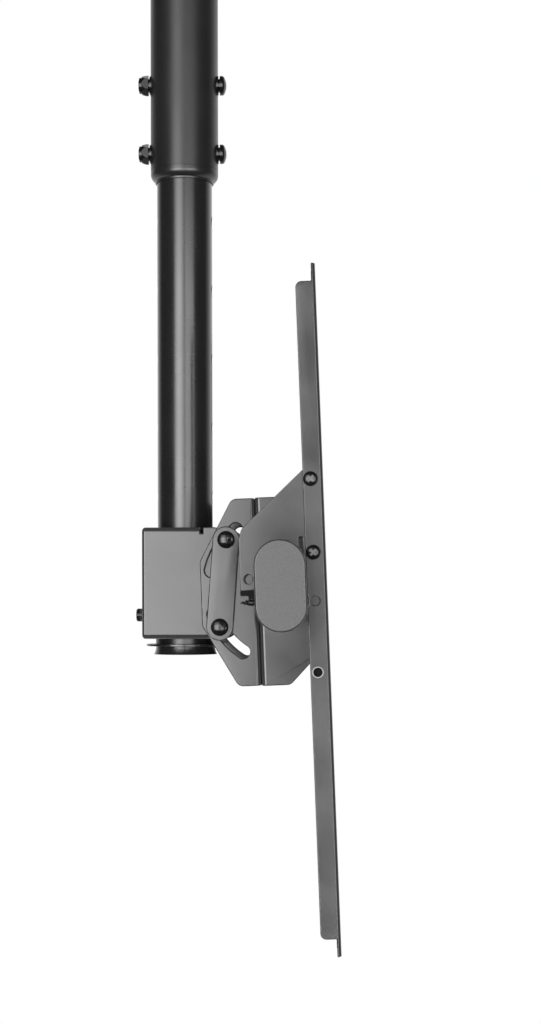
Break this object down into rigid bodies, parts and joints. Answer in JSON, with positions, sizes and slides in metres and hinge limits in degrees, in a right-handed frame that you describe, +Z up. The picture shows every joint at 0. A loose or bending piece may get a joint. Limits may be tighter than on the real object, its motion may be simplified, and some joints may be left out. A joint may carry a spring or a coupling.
{
  "type": "tv ceiling mount",
  "caption": "Telescopic ceiling pole with a swivel box, a tilting head, an oval rail and sliding arms that carry a television.",
  "frame": {"origin": "centre of the ceiling plate's top face, on the axis of the pole", "axes": "+Z up along the pole, +X the way the television faces, +Y along the rail"},
  "size_m": [0.191, 0.4608, 0.947],
  "materials": {
    "tube_black": "satin black powder coat",
    "bracket_grey": "fine textured black powder coat",
    "black_nylon": "moulded black nylon",
    "cap_plastic": "moulded black plastic",
    "turned_steel": "black coated turned steel",
    "black_zinc": "black plated fasteners",
    "zinc": "bright zinc plate"
  },
  "bodies": {
    "mast": {"ceiling_plate": "tube_black", "sleeve_screws": "black_zinc", "upper_tube": "tube_black", "tube_collar": "black_nylon", "mast_bolts": "black_zinc", "mast_nuts": "black_zinc", "saddle_washers": "black_zinc"},
    "pole": {"lower_tube": "tube_black", "guide_ring": "black_nylon", "thrust_washer": "turned_steel", "end_ring": "turned_steel"},
    "swivel": {"swivel_housing": "bracket_grey", "swivel_bush": "black_nylon", "lock_screw": "black_zinc", "lock_screw_nut": "black_zinc", "link_plate_left": "bracket_grey", "link_plate_right": "bracket_grey", "tilt_bolts": "black_zinc", "tilt_bushes": "black_nylon", "tilt_washers": "black_zinc", "tilt_nuts": "black_zinc"},
    "head": {"tilt_bracket": "bracket_grey", "rail_bracket": "bracket_grey", "bracket_bolts": "black_zinc", "bracket_nuts": "black_zinc", "rail": "bracket_grey", "end_cap_left": "cap_plastic", "end_cap_right": "cap_plastic", "stop_screws": "black_zinc"},
    "arm_left_body": {"arm_left": "bracket_grey", "hook_left": "bracket_grey", "arm_screws_left": "black_zinc", "arm_nuts_left": "black_zinc", "arm_rivets_left": "zinc"},
    "arm_right_body": {"arm_right": "bracket_grey", "hook_right": "bracket_grey", "arm_screws_right": "black_zinc", "arm_nuts_right": "black_zinc", "arm_rivets_right": "zinc"}
  },
  "joints": [
    {"name": "height_slide", "type": "slide", "parent": "mast", "child": "pole", "axis": [0, 0, 1], "range_m": [-0.05, 0.25]},
    {"name": "swivel_turn", "type": "hinge", "parent": "pole", "child": "swivel", "pos_m": [0, 0, -0.7125], "axis": [0, 0, 1], "range_deg": [-180, 180]},
    {"name": "tilt", "type": "hinge", "parent": "swivel", "child": "head", "pos_m": [0.0737, 0, -0.7115], "axis": [0, 1, 0], "range_deg": [-10, 25]},
    {"name": "arm_left_slide", "type": "slide", "parent": "head", "child": "arm_left_body", "axis": [0, 1, 0], "range_m": [-0.05, 0.05]},
    {"name": "arm_right_slide", "type": "slide", "parent": "head", "child": "arm_right_body", "axis": [0, 1, 0], "range_m": [-0.05, 0.05]}
  ]
}
